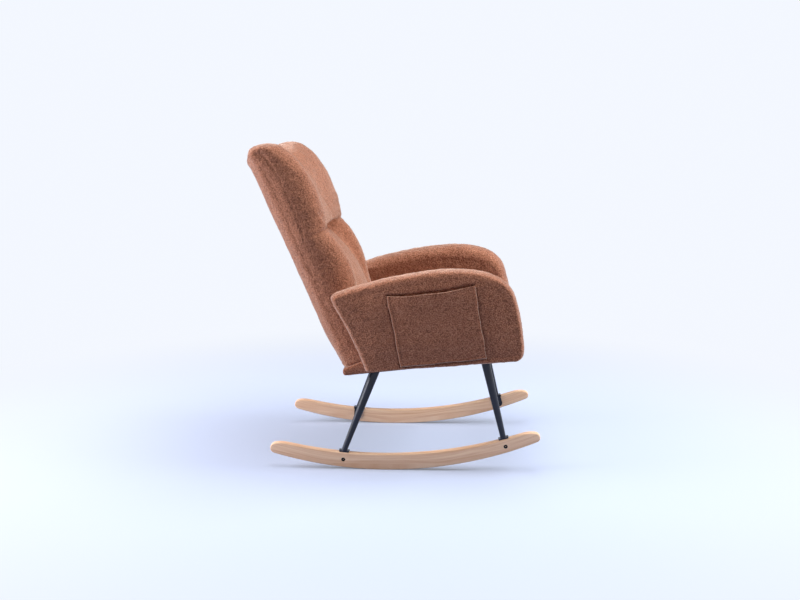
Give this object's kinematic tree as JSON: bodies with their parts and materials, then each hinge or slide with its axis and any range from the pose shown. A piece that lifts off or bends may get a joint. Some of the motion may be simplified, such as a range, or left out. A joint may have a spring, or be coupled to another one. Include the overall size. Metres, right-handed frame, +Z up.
{
  "type": "rocking armchair",
  "caption": "High-backed upholstered rocking armchair with padded arms, side pockets and tapered steel legs on two wooden bow rockers.",
  "frame": {"origin": "on the floor under the middle of the bounding box", "axes": "+Z up, +Y towards the back of the chair, +X towards the left hand of someone seated"},
  "size_m": [0.7058, 0.874, 0.982],
  "materials": {
    "beech": "clear satin lacquer over pale grained wood",
    "softwood": "sawn and unfinished",
    "black_steel": "satin black powder coat",
    "zinc_steel": "bright zinc plate",
    "spring_steel": "oiled spring wire",
    "teddy_fabric": "short curly pile in camel brown",
    "webbing": "woven elastic webbing",
    "dust_cloth": "thin black non-woven cloth"
  },
  "bodies": {
    "root": {"arm_board_left": "softwood", "arm_board_right": "softwood", "arm_bolt_front_left": "zinc_steel", "arm_bolt_front_right": "zinc_steel", "arm_bolt_rear_left": "zinc_steel", "arm_bolt_rear_right": "zinc_steel", "arm_cover_left": "teddy_fabric", "arm_cover_right": "teddy_fabric", "arm_pocket_left": "teddy_fabric", "arm_pocket_right": "teddy_fabric", "back_bracket_left": "black_steel", "back_bracket_right": "black_steel", "back_cover": "teddy_fabric", "back_pad_lower": "teddy_fabric", "back_pad_upper": "teddy_fabric", "back_rail_bottom": "softwood", "back_rail_middle": "softwood", "back_rail_top": "softwood", "back_stile_left": "softwood", "back_stile_right": "softwood", "back_strap_1": "webbing", "back_strap_2": "webbing", "back_strap_3": "webbing", "dust_cover": "dust_cloth", "leg_front_left": "black_steel", "leg_front_right": "black_steel", "leg_plate_front_left": "black_steel", "leg_plate_front_right": "black_steel", "leg_plate_rear_left": "black_steel", "leg_plate_rear_right": "black_steel", "leg_rail_front": "softwood", "leg_rail_rear": "softwood", "leg_rear_left": "black_steel", "leg_rear_right": "black_steel", "rocker_bolt_front_left": "zinc_steel", "rocker_bolt_front_right": "zinc_steel", "rocker_bolt_rear_left": "zinc_steel", "rocker_bolt_rear_right": "zinc_steel", "rocker_bracket_front_left": "black_steel", "rocker_bracket_front_right": "black_steel", "rocker_bracket_rear_left": "black_steel", "rocker_bracket_rear_right": "black_steel", "rocker_left": "beech", "rocker_right": "beech", "seat_border": "teddy_fabric", "seat_cushion": "teddy_fabric", "seat_front_rail": "softwood", "seat_rear_rail": "softwood", "seat_side_rail_left": "softwood", "seat_side_rail_right": "softwood", "seat_spring_1": "spring_steel", "seat_spring_2": "spring_steel", "seat_spring_3": "spring_steel", "seat_spring_4": "spring_steel", "seat_spring_rail": "softwood", "sleeve_nut_front_left": "zinc_steel", "sleeve_nut_front_right": "zinc_steel", "sleeve_nut_rear_left": "zinc_steel", "sleeve_nut_rear_right": "zinc_steel"}
  },
  "joints": []
}
